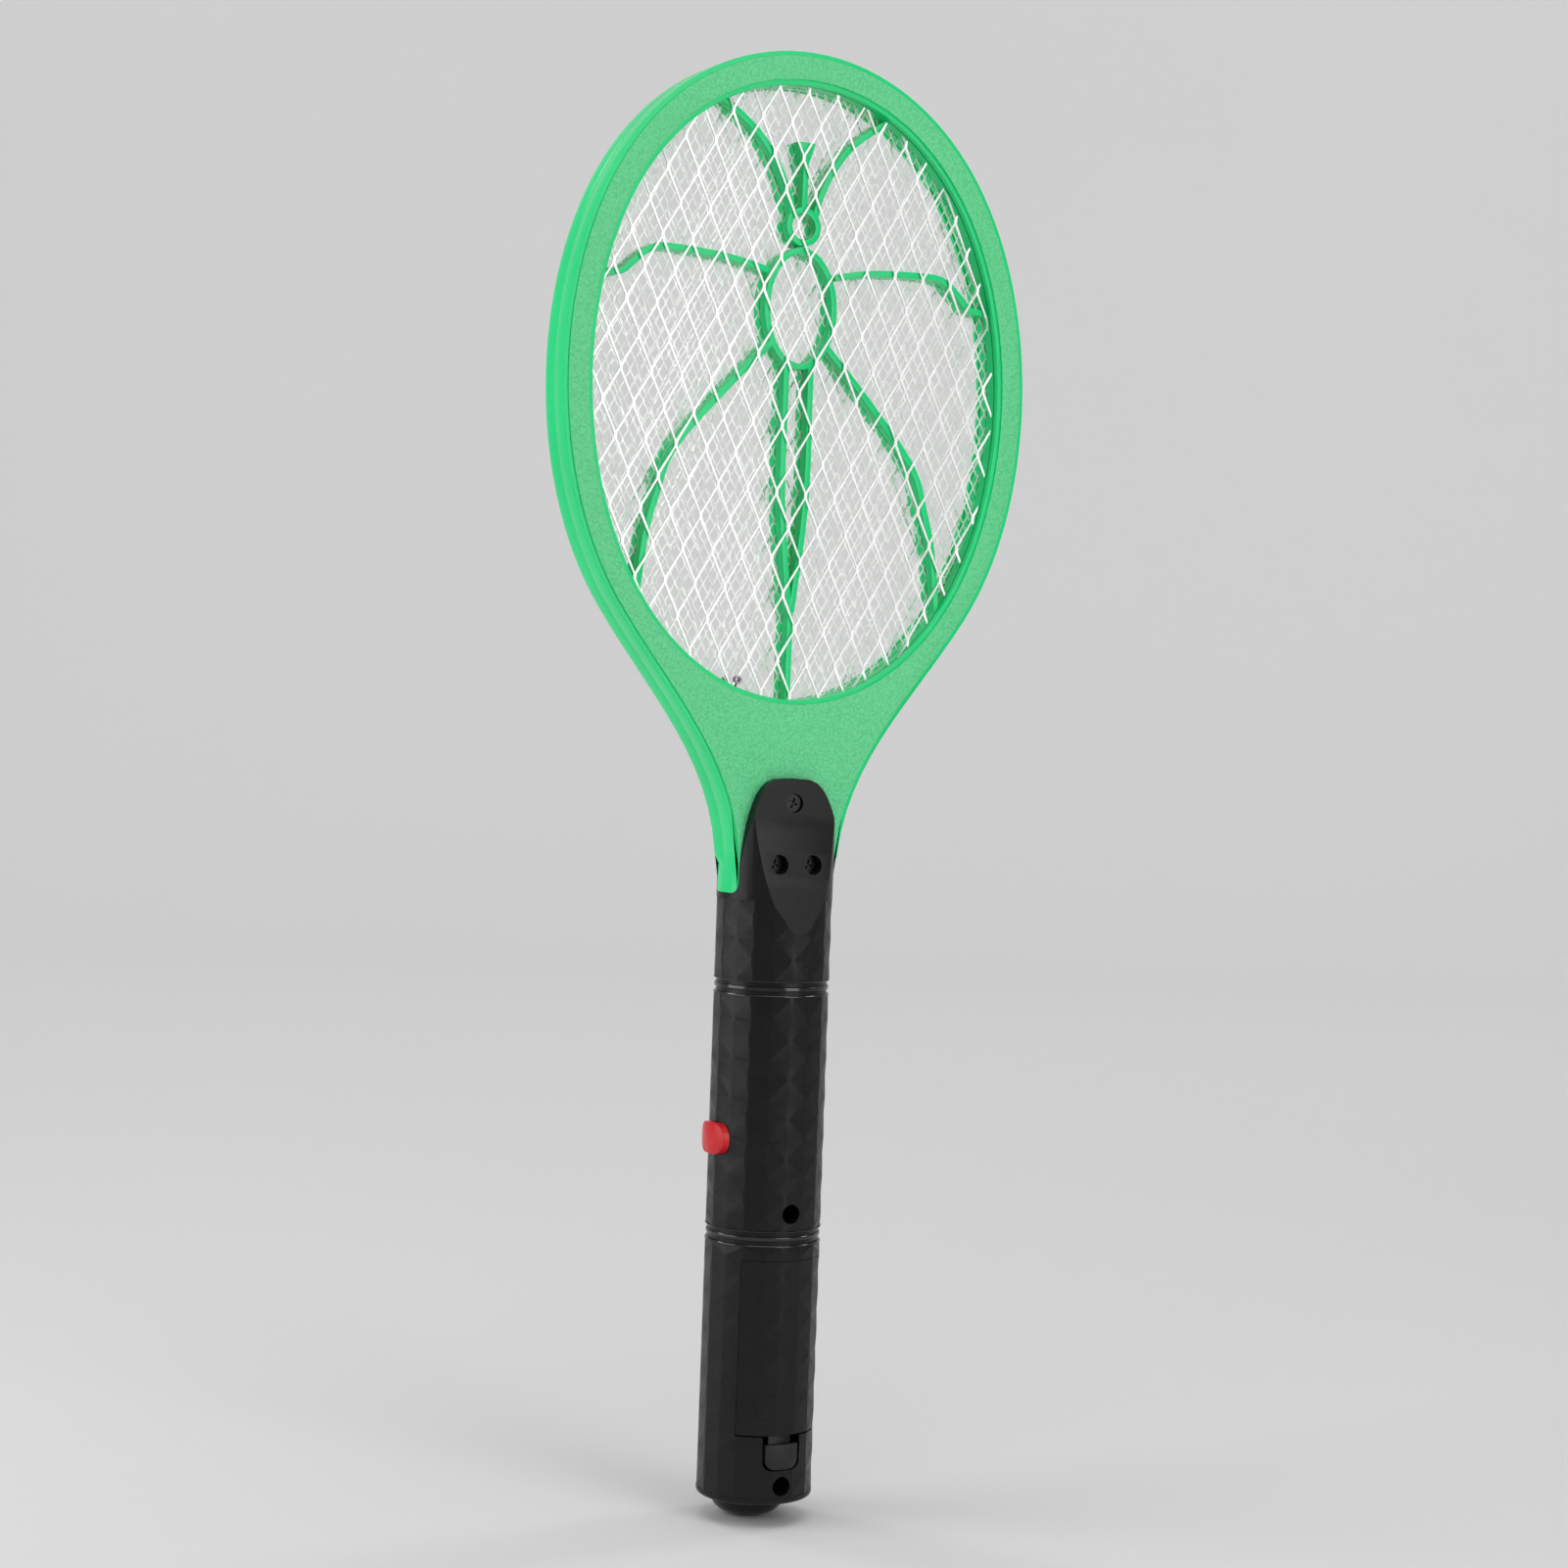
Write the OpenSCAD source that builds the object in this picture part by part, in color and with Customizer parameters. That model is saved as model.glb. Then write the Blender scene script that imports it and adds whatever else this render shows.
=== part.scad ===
// Electric fly swatter: a battery handle with a hoop that holds three wire nets.
// Z runs up along the handle, the screws and the battery door face -Y, and the
// button is on the -X side. The lowest point of the end dome is at Z = 0.

/* [Hoop] */
// Half width of the hoop at its widest
hoop_half_w = 80.7; // [66:0.1:98]
// Half height of the hoop's egg outline
hoop_half_h = 102.6; // [86:0.1:125]
// Lowest point of the egg outline, hidden inside the neck
hoop_low_z = 247.4; // [240:0.1:260]
// How far the egg's shoulders fill out
hoop_fill = 2.6; // [0:0.1:4]
// Width of the green rim at its sides
rim_side_w = 9.6; // [8.5:0.1:12]
// Width of the green rim at its top
rim_top_w = 10.1; // [8.5:0.1:13]
// Width of the green rim above the egg's lowest point
rim_low_w = 6.7; // [4:0.1:12]
// How far the opening's shoulders fill out
open_fill = 1.7; // [0:0.1:3]
// How much wider the opening is in its upper half
open_tilt = 1.3; // [0:0.1:3]
// Half thickness of the rim at its raised band
rim_half_t = 7.0; // [6:0.1:9]
// Height of the raised band on each face of the rim
band_h = 0.6; // [0.2:0.1:1]
// Width of the smooth shoulder beside the raised band
shoulder_w = 1.5; // [0.8:0.1:2.5]
// Wall thickness of the rim's side and of the neck's side
rim_wall = 2.0; // [1.4:0.1:2.5]
// Thickness of the rim's face under the raised band
rim_face_t = 1.7; // [1.2:0.1:2]

/* [Neck] */
// Angle from the hoop's top at which the neck leaves it
neck_start = 132.3; // [128:0.1:138]
// Strength of the neck curve where it leaves the hoop
neck_pull_top = 33; // [20:1:45]
// Strength of the neck curve where it meets the handle
neck_pull_low = 33.8; // [20:0.1:45]
// Height at which the neck's sides become straight
neck_straight_z = 200; // [196:0.5:206]
// Corner radius at the low end of the green ear
ear_corner_r = 3; // [1:0.5:4]

/* [Handle] */
// Outer radius of the round handle
handle_r = 18; // [17.5:0.1:22]
// Wall thickness of the handle shells
handle_wall = 2; // [1.6:0.1:2.4]
// Height of the handle's flat end above the dome's lowest point
base_z = 7.5; // [6:0.5:10]
// Rounding of the handle's lower rim
base_round = 1.2; // [0.6:0.1:1.6]
// Bottom of the slot that takes the green ear
slot_z = 194.3; // [188:0.1:200]
// Height at which the tongues begin to narrow
tongue_z = 200; // [198:0.5:206]
// Top of the tongues
tongue_top_z = 230; // [224:0.5:236]
// Thickness of the tongues at their tops
tongue_top_t = 3; // [2.6:0.1:4.5]
// Height at which the hollow throat starts
throat_z = 182; // [178:0.5:188]
// Radius of the hollow throat
throat_r = 300; // [220:5:400]
// Heights of the two groove bands
band_z = [89.1, 165.6]; // [60:0.1:180]
// Width of each groove
groove_w = 1.2; // [0.8:0.1:1.6]
// Distance between the two grooves of a band
groove_gap = 2.6; // [2:0.1:4]
// Depth of the grooves
groove_d = 0.8; // [0.3:0.1:1]
// Depth of the ring between two grooves
ring_d = 0.25; // [0:0.05:0.5]

/* [Screws] */
// Shank diameter of the screws
screw_d = 2.9; // [2.5:0.1:3.2]
// Head diameter of the screws
screw_head_d = 5.6; // [5:0.1:5.7]
// Head height of the screws
screw_head_h = 1.3; // [1:0.1:1.5]
// Diameter of the holes that the heads sit in
head_hole_d = 6; // [5.8:0.1:7]
// Thickness left between the green ear and the head seats
seat_floor = 1.3; // [1:0.1:2.2]
// How far the screw tips reach beyond the green ear
bite_l = 2; // [1.5:0.1:2.2]
// Radius of the screw bosses
boss_r = 4.2; // [3.8:0.1:4.8]
// Height of the upper tongue screw
tongue_screw_z = 222.4; // [220:0.1:224]
// Height of the two lower tongue screws
ear_screw_z = 203.6; // [202:0.1:206]
// Sideways distance of the two lower tongue screws
ear_screw_x = 5.85; // [5.6:0.05:7]
// Heights of the two handle screws
handle_screw_z = [13.1, 96.8]; // [13:0.1:110]

/* [Nets] */
// Thickness of the coarse nets
net_t = 0.6; // [0.4:0.1:0.7]
// Width of a coarse diamond
net_w = 10.2; // [8:0.1:14]
// Height of a coarse diamond
net_h = 20.6; // [16:0.1:28]
// Strand width of the coarse nets
net_strand = 0.9; // [0.6:0.1:1.4]
// Turn of the coarse nets in their plane
net_turn = 3; // [-5:0.5:5]
// Thickness of the fine net in the middle
fine_t = 0.4; // [0.3:0.1:0.4]
// Width of a fine diamond
fine_w = 6.6; // [6:0.1:9]
// Height of a fine diamond
fine_h = 12; // [10:0.1:16]
// Strand width of the fine net
fine_strand = 0.8; // [0.5:0.1:1]
// How far the nets reach under the rim
net_grip = 2.5; // [1.5:0.1:2.8]
// Width of the rib spacer's outer ring
spacer_w = 3; // [2.6:0.1:3.4]
// Width of the ribs across the nets
rib_w = 1.9; // [1.4:0.1:3]
// Distance of the ribs' free edges from the middle plane
rib_y = 3.7; // [3:0.1:3.8]
// Diameter of the rivets that join the leads to the nets
rivet_d = 2.6; // [2:0.1:3]

/* [Battery bay] */
// Diameter of an AA cell
cell_d = 14.5; // [14:0.1:14.8]
// Length of an AA cell with its button
cell_l = 50.5; // [42:0.1:51]
// Distance between the middles of the cells
cell_gap = 15.2; // [15:0.1:15.6]
// Distance of the cells behind the middle plane
cell_y = 1; // [0:0.1:1.5]
// Lower edge of the door opening
door_z = 28.4; // [27.5:0.1:30]
// How far the door opening ends below the tray's upper wall
door_drop = 2; // [1.5:0.1:2.5]
// Half angle of the door around the handle
door_angle = 49; // [44:0.5:52]
// Half width of the latch window
latch_w = 6.4; // [6:0.1:7.5]
// Lower edge of the latch window
latch_z = 18; // [17.8:0.1:19]
// Travel of the latch
latch_travel = 1.6; // [1:0.1:1.8]
// Length of the contact springs
spring_l = 5; // [4.5:0.1:5.5]

/* [Button and end] */
// Height of the button's middle
button_z = 118.7; // [112:0.1:130]
// Width of the button across the seam
button_w = 14; // [11:0.1:15]
// Height of the button's face
button_h = 9.5; // [8:0.1:11]
// Corner radius of the button
button_round = 4.2; // [2:0.1:4.4]
// How far the button stands out of the handle
button_out = 2; // [1.6:0.1:2.5]
// Travel of the button
button_travel = 1.5; // [1:0.1:1.5]
// Radius of the end dome's base
dome_base_r = 11.8; // [10:0.1:12.2]
// Distance of the end dome's middle behind the handle's axis
dome_y = 4; // [3:0.1:4.4]

/* [Clearances] */
// Gap between the ear and its slot
slot_gap = 0.05; // [0.03:0.01:0.1]
// Gap around moving or loose pieces
gap = 0.15; // [0.1:0.01:0.2]
// Gap below the door, which its corners need to swing out
door_swing_gap = 0.45; // [0.4:0.05:0.6]
// Radial gap between a screw shank and the hole it bites in
bite_gap = 0.02; // [0.01:0.01:0.03]

/* [Hidden] */
$fn = 64;

edge_strip = 0.7;                           // unbroken edge of each net, under the rim
big = 60;                                   // reach of the boxes that cut
eps = 0.02;                                 // overlap that joins solids
past = 1;                                   // how far a cut runs past the face it opens

// Hoop and opening
hoop_z = hoop_low_z + hoop_half_h;          // middle of the egg
open_top_z = hoop_z + hoop_half_h - rim_top_w;
open_low_z = hoop_low_z + rim_low_w;
open_z = (open_top_z + open_low_z) / 2;     // middle of the opening
open_half_h = (open_top_z - open_low_z) / 2;
open_half_w = hoop_half_w - rim_side_w;
wall_y = rim_half_t - band_h;               // the rim's shoulder
plate_y = wall_y - rim_face_t;              // inner side of the rim's face
layer_gap = 0.1;                            // gap between the stacked layers
net_y = plate_y - layer_gap;                // outer side of a coarse net
spacer_y = net_y - net_t - layer_gap;       // outer side of a rib spacer
spacer_in_y = fine_t / 2 + 0.05;            // inner side of a rib spacer

// Handle
bore_r = handle_r - handle_wall;
slot_half = rim_half_t + slot_gap;
tongue_top_y = rim_half_t + tongue_top_t;
seat_y = rim_half_t + seat_floor;
tip_y = rim_half_t + bite_l;
slot_floor_z = slot_z - handle_wall;
edge_half = sqrt(handle_r * handle_r - slot_half * slot_half);
throat_mid = [(tongue_top_y + handle_r) / 2, (tongue_top_z + throat_z) / 2];
throat_dir = unit([handle_r - tongue_top_y, throat_z - tongue_top_z]);
throat_half = norm([handle_r - tongue_top_y, throat_z - tongue_top_z]) / 2;
throat_c = throat_mid + [-throat_dir[1], throat_dir[0]] * sqrt(throat_r * throat_r - throat_half * throat_half);
screw_spots = [[0, tongue_screw_z], [ear_screw_x, ear_screw_z], [-ear_screw_x, ear_screw_z]];
handle_spots = [for (z = handle_screw_z) [0, z]];

// Battery bay
tray_z = door_z - 2.4;                      // floor under the lower contacts
plate_t = 0.4;                              // contact plates
bump_h = 2.2;                               // raised button contacts
cell_nub_h = 1;
cell_low_z = tray_z + plate_t + bump_h;     // button end of the right cell
cell_high_z = tray_z + plate_t + spring_l;  // flat end of the left cell
tray_top_z = cell_high_z + cell_l + bump_h + plate_t;
bulkhead_t = 1.5;
bulkhead_reach = 8;                         // how far the tray's end walls reach into the rear shell
saddle_in = 18;                             // distance of the cell saddles from the tray's ends
terminal_half = 5;
bridge_half_x = 12.6;
cell_x = cell_gap / 2;
door_top_z = tray_top_z - door_drop;
tab_y = cell_y + 4.2;                       // solder tabs of the upper contacts
tab_half = 1;

// Circuit board
board_y = 3;
board_t = 1.6;
board_half_w = 10.8;
board_z = [104, 184];
post_x = 8.3;
post_r = 1.6;
post_root = 3.2;                            // the posts start this far inside the shell's outside
post_z = [board_z[0] + 4, board_z[1] - 4];
flange_t = 2.9;                             // depth of the button behind the shell's wall
stem_l = 3.6;
stem_half = 2;
stem_x = bore_r - flange_t;                 // inner face of the button's flange
plunger_x = stem_x - stem_l;                // where the stem meets the plunger
plunger_half = [1.3, 1.8];
plunger_l = 3.5;
switch_size = [9, 6.2, 6.4];
lead_r = 0.6;
rivet_head_h = 0.5;                         // on the net's outer side
rivet_foot_h = 0.4;                         // on its inner side, where the lead ends
lead_y = net_y - net_t - rivet_foot_h - lead_r;

// Wire routes, from the board up to the nets and from the battery bay to the board
rivet_at = [-18, 259.6];
lead_bends = [[0, 208], [-3, 214], [-6.3, 221], [-8, 232], [-13, 245], [-17.4, 252], [-18, 256], [-18, 260]];
lead_rear_path = concat([[-4, 2.4, 177], [-2, 1, 184], [0, -2, 190], [0, -lead_y, 196]],
    [for (p = lead_bends) [p[0], -lead_y, p[1]]]);
lead_front_path = concat([[4, 2.4, 177], [3, 1.5, 184], [0.5, 3, 191], [0, lead_y, 198]],
    [for (p = lead_bends) [p[0], lead_y, p[1]]]);
lead_center_path = [[0, 2.4, 176], [0, 1, 184], [0, 0, 192], [0, 0, 208], [3, 0, 214],
    [6.5, -0.2, 221], [9, -0.6, 232], [10, -0.82, 242], [10, -0.82, 248]];
battery_path = [[cell_x, tab_y - lead_r - 0.1, tray_top_z + 3.5], [7.4, 3, tray_top_z + 7.5],
    [6.8, 1.5, board_z[0] - 6], [6, 1.2, board_z[0] - 1], [5, 1.8, board_z[0] + 3], [4.5, 2.4, board_z[0] + 6]];

// Parts on the board
core_z = 147;
core_y = board_y - 6;
core_half = [8, 3, 7];
window_half = [1.95, 4, 4.6];
window_x = 3.95;
winding_size = [11.2, 12, 8.8];
capacitor_z = 165;
capacitor_size = [15, 11, 8];
diode_z = [157, 172.5];
diode_size = [1.35, 5.2];                   // radius and length
resistor_z = [126, 130];
resistor_size = [1.1, 6];
axial_lead_r = 0.35;
transistor_z = 136;
transistor_size = [2.4, 4.8];

// Ribs, in hundredths of the opening's half width and half height from its middle
rib_upper = [[5.9, 59.1], [7.7, 64.4], [13.9, 74], [23.9, 83.5], [40.4, 92.4]];
rib_middle = [[17.4, 39.4], [36.6, 42.1], [65.1, 43.2], [74.3, 41.4], [81.6, 36.8], [86.5, 33.7], [94.9, 33.1]];
rib_lower = [[14.3, 15.6], [35.4, -0.3], [58.9, -20.5], [66.4, -35.4], [71, -48.6], [73.6, -63.3]];
rib_belly = [[6, 9], [6, -3.5], [5.8, -35.4], [0.6, -71]];
rib_stem = [[0, -70], [0, -101]];
rib_feeler = [[0, 60], [0, 76]];
feeler_tip = [0, 81];
eye_at = [0, 54.6];
eye_half = [8.439, 6.369];
body_at = [0, 27.9];
body_half = [17.862, 19.958];

rib_root = 0.8;                             // how far a rib starts inside the ring of the body or the eye
rib_reach = 6;                              // and how far it runs into the outer ring, which cuts it off

// ---------- plane curves ----------
function unit(v) = v / norm(v);
function arc(c, r, a0, a1, n = 6) = [for (i = [0:n]) let (a = a0 + (a1 - a0) * i / n) c + r * [cos(a), sin(a)]];
function flip(points) = [for (i = [len(points) - 1:-1:0]) [-points[i][0], points[i][1]]];
function inset(p, d, by) = p + [d[1], -d[0]] * by;

// Outer outline: an egg, then the neck's curve, then the straight ear
function egg(t) = [(hoop_half_w + hoop_fill * (1 + cos(2 * t))) * sin(t), hoop_z + hoop_half_h * cos(t)];
function egg_dir(t) = unit(egg(t + 0.2) - egg(t - 0.2));
neck_p = [egg(neck_start), egg(neck_start) + egg_dir(neck_start) * neck_pull_top,
    [handle_r, neck_straight_z + neck_pull_low], [handle_r, neck_straight_z]];
function bezier(p, s) = pow(1 - s, 3) * p[0] + 3 * pow(1 - s, 2) * s * p[1] + 3 * (1 - s) * s * s * p[2]
    + pow(s, 3) * p[3];
function bezier_dir(p, s) = unit(pow(1 - s, 2) * (p[1] - p[0]) + 2 * (1 - s) * s * (p[2] - p[1])
    + s * s * (p[3] - p[2]));
egg_steps = 50;
neck_steps = 14;
function right_side(by) = concat(
    [for (i = [0:egg_steps - 1]) let (t = neck_start * i / egg_steps) inset(egg(t), egg_dir(t), by)],
    [for (i = [0:neck_steps]) inset(bezier(neck_p, i / neck_steps), bezier_dir(neck_p, i / neck_steps), by)],
    [[handle_r - by, slot_z + slot_gap + by]]);
function outline(by) = let (side = right_side(by)) concat(side, [for (i = [len(side) - 1:-1:1]) [-side[i][0], side[i][1]]]);

// Opening of the hoop; a positive growth reaches out under the rim
function open_pt(t) = [(open_half_w + open_tilt * cos(t) + open_fill * (1 + cos(2 * t))) * sin(t),
    open_z + open_half_h * cos(t)];
function opening(grow) = [for (t = [0:3:357]) inset(open_pt(t), unit(open_pt(t + 0.2) - open_pt(t - 0.2)), -grow)];
function in_open(p) = [p[0] / 100 * open_half_w, open_z + p[1] / 100 * open_half_h];

// A smooth curve through points, and a strip of even width along it
function catmull(p, i, t) = let (a = p[max(i - 1, 0)], b = p[i], c = p[i + 1], d = p[min(i + 2, len(p) - 1)])
    0.5 * (2 * b + (c - a) * t + (2 * a - 5 * b + 4 * c - d) * t * t + (3 * b - a - 3 * c + d) * t * t * t);
function smooth(p, n) = concat([for (i = [0:len(p) - 2]) for (k = [0:n - 1]) catmull(p, i, k / n)], [p[len(p) - 1]]);
function side_dir(p, i) = let (d = unit(p[min(i + 1, len(p) - 1)] - p[max(i - 1, 0)])) [-d[1], d[0]];
function strip(p, w) = concat([for (i = [0:len(p) - 1]) p[i] + side_dir(p, i) * w / 2],
    [for (i = [len(p) - 1:-1:0]) p[i] - side_dir(p, i) * w / 2]);
function longer(p, from, by) = let (n = len(p) - 1)
    concat([p[0] - unit(p[1] - p[0]) * from], [for (i = [1:n - 1]) p[i]], [p[n] + unit(p[n] - p[n - 1]) * by]);

function round_rect(w, h, r) = concat(arc([w / 2 - r, h / 2 - r], r, 0, 90), arc([r - w / 2, h / 2 - r], r, 90, 180),
    arc([r - w / 2, r - h / 2], r, 180, 270), arc([w / 2 - r, r - h / 2], r, 270, 360));

// ---------- building blocks ----------
// Plane shapes in X and Z, given thickness from y0 to y1
module plate(y0, y1) {
    translate([0, y1, 0]) rotate([90, 0, 0]) linear_extrude(y1 - y0) children();
}

// Plane shapes in Y and Z, given length along X
module along_x(x0, x1) {
    translate([x0, 0, 0]) rotate([90, 0, 90]) linear_extrude(x1 - x0) children();
}

module rod_y(at, r, y0, y1) {
    translate([at[0], y1, at[1]]) rotate([90, 0, 0]) cylinder(r = r, h = y1 - y0);
}

module block(x0, x1, y0, y1, z0, z1) {
    translate([x0, y0, z0]) cube([x1 - x0, y1 - y0, z1 - z0]);
}

module rod_z(r, z0, z1) {
    translate([0, 0, z0]) cylinder(r = r, h = z1 - z0);
}

module front() {
    mirror([0, 1, 0]) children();
}

// A tube with flat ends swept along a route
function frame_at(p, i) = let (t = unit(p[min(i + 1, len(p) - 1)] - p[max(i - 1, 0)]), u = unit(cross(t, [0.83, 0.55, 0.1])))
    [u, cross(t, u)];
module tube(p, r, sides = 8) {
    rings = len(p);
    points = [for (i = [0:rings - 1]) let (f = frame_at(p, i)) for (k = [0:sides - 1])
        p[i] + r * (cos(360 * k / sides) * f[0] + sin(360 * k / sides) * f[1])];
    skin = [for (i = [0:rings - 2]) for (k = [0:sides - 1])
        [i * sides + k, i * sides + (k + 1) % sides, (i + 1) * sides + (k + 1) % sides, (i + 1) * sides + k]];
    low_end = [for (k = [sides - 1:-1:0]) k];
    high_end = [for (k = [0:sides - 1]) (rings - 1) * sides + k];
    polyhedron(points = points, faces = concat(skin, [low_end], [high_end]), convexity = 6);
}

// ---------- hoop ----------
module rim_face(by) {
    difference() {
        polygon(outline(by));
        polygon(opening(by));
    }
}

// Corners of the neck are turned down to the handle's own round where it enters the slot
module neck_trim() {
    straight = neck_straight_z + 3;
    top = straight + 42;
    widening = 19;
    difference() {
        block(-big, big, -rim_half_t - 1, rim_half_t + 1, slot_z - 1, top);
        rod_z(handle_r, slot_z - 2, straight + eps);
        translate([0, 0, straight]) cylinder(r1 = handle_r, r2 = handle_r + widening, h = top - straight + 1);
    }
}

// The ear's two lower edges are rounded to match the bottom of the slot
module slot_shape(half, z, r) {
    polygon(concat(arc([r - half, z + r], r, 180, 270), arc([half - r, z + r], r, 270, 360),
        [[half, z + big], [-half, z + big]]));
}

module ear_round() {
    difference() {
        block(-big / 2, big / 2, -rim_half_t - 1, rim_half_t + 1, slot_z - 1, slot_z + ear_corner_r + slot_gap);
        along_x(-big, big) slot_shape(rim_half_t, slot_z + slot_gap, ear_corner_r);
    }
}

peg_angles = [for (a = [15, 45, 75, 105]) each [a, -a]];
function peg_at(t) = let (a = abs(t), p = inset(egg(a), egg_dir(a), (rim_side_w + rim_wall - spacer_w) / 2))
    [sign(t) * p[0], p[1]];

peg_r = 1.2;
peg_l = 2.2;
peg_boss_r = 2.1;

// One half of the hoop, drawn on the -Y side
module frame_half(hole_r) {
    difference() {
        union() {
            plate(-rim_half_t, -wall_y) rim_face(shoulder_w);
            plate(-wall_y, -plate_y) rim_face(0);
            plate(-plate_y, 0) difference() {
                polygon(outline(0));
                polygon(outline(rim_wall));
            }
            for (s = screw_spots) rod_y(s, boss_r - 0.2, -plate_y - eps, 0);
            children();
        }
        for (s = screw_spots) rod_y(s, hole_r, -rim_half_t - 1, 1);
        block(-3, 3, -plate_y, 1, slot_z - 1, slot_z + rim_wall + 1);
        neck_trim();
        ear_round();
    }
}

module head_frame_rear() {
    color([0.22, 0.80, 0.50]) difference() {
        frame_half(screw_d / 2 + gap)
            for (t = peg_angles) rod_y(peg_at(t), peg_boss_r, -plate_y - eps, 0);
        for (t = peg_angles) rod_y(peg_at(t), peg_r + bite_gap, -peg_l - 0.3, past);
    }
}

module head_frame_front() {
    color([0.22, 0.80, 0.50]) front() frame_half(screw_d / 2 + bite_gap)
        for (t = peg_angles) {
            rod_y(peg_at(t), peg_boss_r, -plate_y - eps, 0);
            rod_y(peg_at(t), peg_r, -1, peg_l);
        }
}

// ---------- nets ----------
// Rhombic net: the cells' middles lie on two interleaved grids
function net_cells(w, h, turn) = [for (j = [-30:30]) for (i = [-20:20])
    let (c = [(i + (j % 2 == 0 ? 0 : 0.5)) * w, j * h / 2],
        q = [c[0] * cos(turn) + c[1] * sin(turn), c[1] * cos(turn) - c[0] * sin(turn)])
    if (norm([q[0] / (open_half_w + w / 2 + 2), q[1] / (open_half_h + h / 2 + 2)]) < 1) q];

module net(w, h, strand, turn, grip) {
    reach = w * h / 4 / norm([w, h] / 2);
    share = 1 - strand / 2 / reach;
    difference() {
        polygon(opening(grip));
        for (c = net_cells(w, h, turn)) translate([c[0], open_z + c[1]]) rotate(-turn)
            polygon([[w / 2 * share, 0], [0, h / 2 * share], [-w / 2 * share, 0], [0, -h / 2 * share]]);
    }
    difference() {
        polygon(opening(grip));
        polygon(opening(grip - edge_strip));
    }
}

module coarse_net() {
    difference() {
        union() {
            plate(-net_y, -net_y + net_t) net(net_w, net_h, net_strand, net_turn, net_grip);
            rod_y(rivet_at, rivet_d / 2 + 0.9, -net_y, -net_y + net_t);
        }
        rod_y(rivet_at, rivet_d / 4 + bite_gap, -net_y - 1, -net_y + net_t + 1);
    }
}

module outer_net_rear() {
    color([0.92, 0.93, 0.92]) coarse_net();
}

module outer_net_front() {
    color([0.92, 0.93, 0.92]) front() coarse_net();
}

module center_net() {
    tab_x = lead_center_path[len(lead_center_path) - 1][0];
    color([0.92, 0.93, 0.92]) union() {
        plate(-fine_t / 2, fine_t / 2) net(fine_w, fine_h, fine_strand, 0, net_grip);
        block(tab_x - 2, tab_x + 2, -fine_t / 2, fine_t / 2, open_low_z - 7, open_low_z - 0.5);
    }
}

module net_rivet() {
    rod_y(rivet_at, rivet_d / 2, -net_y - rivet_head_h, -net_y);
    rod_y(rivet_at, rivet_d / 4, -net_y - eps, -net_y + net_t + eps);
    rod_y(rivet_at, rivet_d / 2, -net_y + net_t, -net_y + net_t + rivet_foot_h);
}

module net_rivet_rear() {
    color([0.78, 0.76, 0.70]) net_rivet();
}

module net_rivet_front() {
    color([0.78, 0.76, 0.70]) front() net_rivet();
}

module rib(p, extend = rib_reach) {
    polygon(strip(longer(smooth([for (q = p) in_open(q)], 4), rib_root, extend), rib_w));
}

module both_sides() {
    children();
    mirror([1, 0]) children();
}

function oval(at, half, by = 0) = let (c = in_open(at), h = in_open(at + half) - c)
    [for (a = [0:10:350]) c + [(h[0] - by) * cos(a), (h[1] - by) * sin(a)]];

module rib_pattern() {
    both_sides() {
        rib(rib_upper);
        rib(rib_middle);
        rib(rib_lower);
        rib(rib_belly, 0.1);
    }
    rib(rib_stem);
    rib(rib_feeler, 0.1);
    polygon([in_open(rib_feeler[1]) + [-rib_w / 2, -1], in_open(rib_feeler[1]) + [rib_w / 2, -1],
        in_open(feeler_tip) + [3.1, 1], in_open(feeler_tip) + [-3.1, 1]]);
    difference() {
        polygon(oval(eye_at, eye_half));
        polygon(oval(eye_at, eye_half, rib_w));
    }
    difference() {
        polygon(oval(body_at, body_half));
        polygon(oval(body_at, body_half, rib_w));
    }
}

module rib_spacer() {
    difference() {
        union() {
            plate(-spacer_y, -spacer_in_y) difference() {
                polygon(opening(spacer_w));
                polygon(opening(0));
            }
            plate(-rib_y, -spacer_in_y) intersection() {
                polygon(opening(spacer_w));
                rib_pattern();
            }
        }
        block(rivet_at[0] - 1.3, rivet_at[0] + 1.7, -spacer_y - 1, -spacer_in_y - 1.2, open_low_z - 8, open_low_z + 5);
    }
}

module rib_spacer_rear() {
    color([0.22, 0.76, 0.47]) rib_spacer();
}

module rib_spacer_front() {
    color([0.22, 0.76, 0.47]) front() rib_spacer();
}

module net_lead_rear() {
    color([0.75, 0.12, 0.1]) tube(smooth(lead_rear_path, 3), lead_r);
}

module net_lead_front() {
    color([0.75, 0.12, 0.1]) tube(smooth(lead_front_path, 3), lead_r);
}

module net_lead_center() {
    color([0.08, 0.08, 0.09]) tube(smooth(lead_center_path, 3), lead_r);
}

// ---------- handle shells ----------
function groove(z) = let (a = (groove_gap - groove_w) / 2, b = (groove_gap + groove_w) / 2)
    [[handle_r, z - b], [handle_r - groove_d, z - b], [handle_r - groove_d, z - a], [handle_r - ring_d, z - a],
    [handle_r - ring_d, z + a], [handle_r - groove_d, z + a], [handle_r - groove_d, z + b], [handle_r, z + b]];

module handle_round() {
    rotate_extrude() polygon(concat([[0, base_z]],
        arc([handle_r - base_round, base_z + base_round], base_round, -90, 0),
        groove(band_z[0]), groove(band_z[1]), [[handle_r, tongue_z], [0, tongue_z]]));
}

function tongue_side(by) = [for (i = [0:12]) let (a = 90 * i / 12)
    [(edge_half - by) * pow(cos(a), 2 / 3.8), tongue_z + (tongue_top_z - by - tongue_z) * pow(sin(a), 2 / 1.5)]];

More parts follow.
